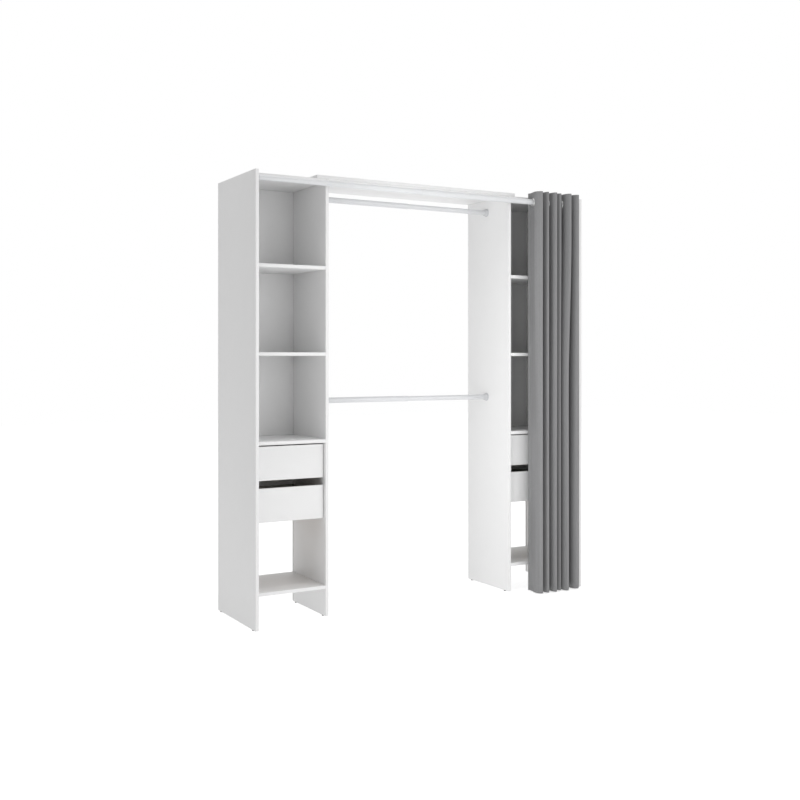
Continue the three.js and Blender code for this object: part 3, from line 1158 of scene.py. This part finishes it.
    def face(self, index, start):
        """One face of the curtain between a rear and a front crest; returns its width."""
        rear, front = (index + 1) // 2, index // 2
        last = len(FRONT_CRESTS)
        ring_x, slope = self.ring_place(index)
        mesh, width = self.face_mesh(index, start, ring_x, slope)
        replaced = [f"curtain_fold_{rear + 1}"] if rear == front or rear == last else []
        piece = new_piece(f"curtain_face_{index + 1}", mesh, [cloth(self.settings)],
                          replaces=replaced, smooth_angle=70)
        thick = piece.modifiers.new("cloth thickness", "SOLIDIFY")
        thick.thickness = self.settings.thickness
        thick.offset = 0
        y_rear = self.crest(rear, False, 1)[1]
        y_front = self.crest(front, True, 1)[1]
        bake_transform(piece)
        extras = [self.ring(index, ring_x, slope), self.seams(index)]
        for extra in extras:
            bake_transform(extra)
        return width

    def ring(self, index, ring_x, slope):
        mesh = grown([(ring_x, self.ring_y, self.ring_z)], [], eyelet_tree(), nickel(), {
            "Ring Radius": (self.eyelet_radius + self.eyelet_bore) / 2,
            "Half Width": (self.eyelet_radius - self.eyelet_bore) / 2,
            "Half Thickness": self.eyelet_width / 2,
        }, [(1, -slope, 0)])
        return new_piece(f"curtain_eyelet_{index + 1}", mesh, [nickel()])

    def stitch_shape(self):
        """A single stitch: a short length of thread, rounded at both ends."""
        half, radius = 1.4 * MM, 0.35 * MM
        slim, near = radius * 0.8, half * 0.8
        profile = [(0, -half), (slim, -near), (radius, 0), (slim, near), (0, half)]
        return turned_shape(profile, ORIGIN, UP, segments=6)

    def seams(self, index):
        """Rows of stitches at the hem and below the heading, on both sides of the cloth."""
        settings = self.settings
        lines = []
        heights = [self.hem + settings.hem_depth] + [self.top - down for down in self.heading_seams]
        for height in heights:
            x, y = self.line(index, self.share(height))
            dx, dy = np.gradient(x), np.gradient(y)
            size = np.hypot(dx, dy)
            for skin in (-settings.thickness / 2, settings.thickness / 2):
                z = np.full(len(x), height)
                lines.append(np.stack([x - skin * dy / size, y + skin * dx / size, z], 1))
        edges = [(k, k + 1) for k in self.followed(len(lines))]
        mesh = grown(np.concatenate(lines), edges, seam_tree(), thread(), {
            "Stitch": self.stitch, "Spacing": settings.stitch_spacing,
        })
        return new_piece(f"curtain_seams_{index + 1}", mesh, [thread()])


class WARDROBE_OT_stage(bpy.types.Operator):
    """Floor, lights and camera"""

    bl_idname = "wardrobe.stage"
    bl_label = "Stage"

    # The photograph's horizon stands above its middle and the view's axis to the right of it, by
    # so many pixels of a picture 800 wide
    picture = 800
    axis_right = 10.59
    horizon_up = 42.69
    # What the eye sees of the floor's own light, which brings it to white far from the lamps
    floor_seen = 0.62
    half_floor = 15
    # A hair below the glides, whose flat undersides would otherwise lie in the floor's own plane
    floor_z = -0.2 * MM
    # Each lamp's place and aim, its width and height, and its spread in degrees
    lamps = {
        "top": ((0, -1, 15), (0, 0, 1), (9, 9), 180),
        "side": ((5, -9, 3), (0, 0, 1), (5, 4), 180),
        "front": ((-0.35, -1.3, 1.05), (0.51, 0.06, 1.05), (0.5, 2.0), 180),
        "bay": ((-0.5, -0.6, 1), (0.51, -0.05, 1), (0.3, 1.9), 110),
    }

    def execute(self, context):
        settings = context.scene.wardrobe_stage
        self.camera(context, settings)
        self.floor(settings)
        self.world(context, settings)
        for name, (place, aim, size, spread) in self.lamps.items():
            self.lamp(f"{name} lamp", getattr(settings, f"{name}_light"), place, aim, size, spread)
        context.scene.view_settings.view_transform = "Standard"
        return {"FINISHED"}

    def camera(self, context, settings):
        data = bpy.data.cameras.new("camera")
        data.sensor_width = 36
        data.lens = settings.lens
        data.shift_x = -self.axis_right / self.picture
        data.shift_y = -self.horizon_up / self.picture
        camera = add_object("camera", data)
        camera.location = settings.camera_place
        camera.rotation_euler = (math.pi / 2, 0, -settings.camera_turn)
        context.scene.camera = camera

    def seen(self, tree):
        """1 for the rays that carry the background to the eye: straight, by gloss or by glass."""
        rays = add_node(tree, "ShaderNodeLightPath").outputs
        seen = rays["Is Camera Ray"]
        for ray in ("Is Glossy Ray", "Is Transmission Ray"):
            seen = add_node(tree, "ShaderNodeMath", {0: seen, 1: rays[ray]}, operation="MAXIMUM")
        return seen

    def floor(self, settings):
        # Matt white floor that is softly lit through from below, as a photographer's light table
        # is; the eye sees it lifted to white, with the object's shadow left in it
        material = bpy.data.materials.new("matt white floor")
        tree = cleared_tree(material)
        paint = add_node(tree, "ShaderNodeBsdfDiffuse", {"Color": settings.floor_colour})
        level = add_node(tree, "ShaderNodeMapRange", {
            "Value": self.seen(tree), "To Min": settings.floor_light, "To Max": self.floor_seen,
        })
        glow = add_node(tree, "ShaderNodeEmission", {"Strength": level})
        both = add_node(tree, "ShaderNodeAddShader", {0: paint, 1: glow})
        add_node(tree, "ShaderNodeOutputMaterial", {"Surface": both})
        mesh = bpy.data.meshes.new("floor")
        corners = [
            (x * self.half_floor, y * self.half_floor, self.floor_z)
            for x, y in ((-1, -1), (1, -1), (1, 1), (-1, 1))
        ]
        mesh.from_pydata(corners, [], [(0, 1, 2, 3)])
        mesh.materials.append(material)
        floor = add_object("floor", mesh)

    def world(self, context, settings):
        world = bpy.data.worlds.new("pale room")
        tree = cleared_tree(world)
        level = add_node(tree, "ShaderNodeMapRange", {
            "Value": self.seen(tree), "To Min": settings.room_light, "To Max": 1.0,
        })
        sky = add_node(tree, "ShaderNodeBackground", {"Color": (1, 1, 1, 1), "Strength": level})
        add_node(tree, "ShaderNodeOutputWorld", {"Surface": sky})
        context.scene.world = world

    def lamp(self, name, light, place, aim, size, spread):
        data = bpy.data.lights.new(name, "AREA")
        data.energy = light
        data.shape = "RECTANGLE"
        data.size, data.size_y = size
        data.spread = math.radians(spread)
        lamp = add_object(name, data)
        lamp.visible_camera = False
        lamp.location = place
        facing = Vector(aim) - Vector(place)
        lamp.rotation_euler = facing.to_track_quat("-Z", "Y").to_euler()


OPERATORS = (
    WARDROBE_OT_stage,
    WARDROBE_OT_boards,
    WARDROBE_OT_fittings,
    WARDROBE_OT_backs,
    WARDROBE_OT_drawers,
    WARDROBE_OT_runners,
    WARDROBE_OT_tubes,
    WARDROBE_OT_sockets,
    WARDROBE_OT_glides,
    WARDROBE_OT_curtain,
)
SETTINGS = {
    "wardrobe_boards": WardrobeBoardSettings,
    "wardrobe_tubes": WardrobeTubeSettings,
    "wardrobe_curtain": WardrobeCurtainSettings,
    "wardrobe_stage": WardrobeStageSettings,
}


class WARDROBE_PT_panel(bpy.types.Panel):
    """Sizes, colours and pieces of the wardrobe"""

    bl_idname = "WARDROBE_PT_panel"
    bl_label = "Curtain wardrobe"
    bl_space_type = "VIEW_3D"
    bl_region_type = "UI"
    bl_category = "Wardrobe"

    def draw(self, context):
        for name, group in SETTINGS.items():
            box = self.layout.box()
            for field in group.__annotations__:
                box.prop(getattr(context.scene, name), field)
        for operator in OPERATORS:
            self.layout.operator(operator.bl_idname)


def register():
    for group in SETTINGS.values():
        bpy.utils.register_class(group)
    for name, group in SETTINGS.items():
        setattr(bpy.types.Scene, name, PointerProperty(type=group))
    for shown in (*OPERATORS, WARDROBE_PT_panel):
        bpy.utils.register_class(shown)


def unregister():
    for shown in (WARDROBE_PT_panel, *reversed(OPERATORS)):
        bpy.utils.unregister_class(shown)
    for name, group in SETTINGS.items():
        delattr(bpy.types.Scene, name)
        bpy.utils.unregister_class(group)


def main():
    register()
    bpy.ops.wardrobe.stage()
    bpy.ops.wardrobe.boards()
    bpy.ops.wardrobe.fittings()
    bpy.ops.wardrobe.backs()
    bpy.ops.wardrobe.drawers()
    bpy.ops.wardrobe.runners()
    bpy.ops.wardrobe.tubes()
    bpy.ops.wardrobe.sockets()
    bpy.ops.wardrobe.glides()
    bpy.ops.wardrobe.curtain()


if __name__ == "__main__":
    main()
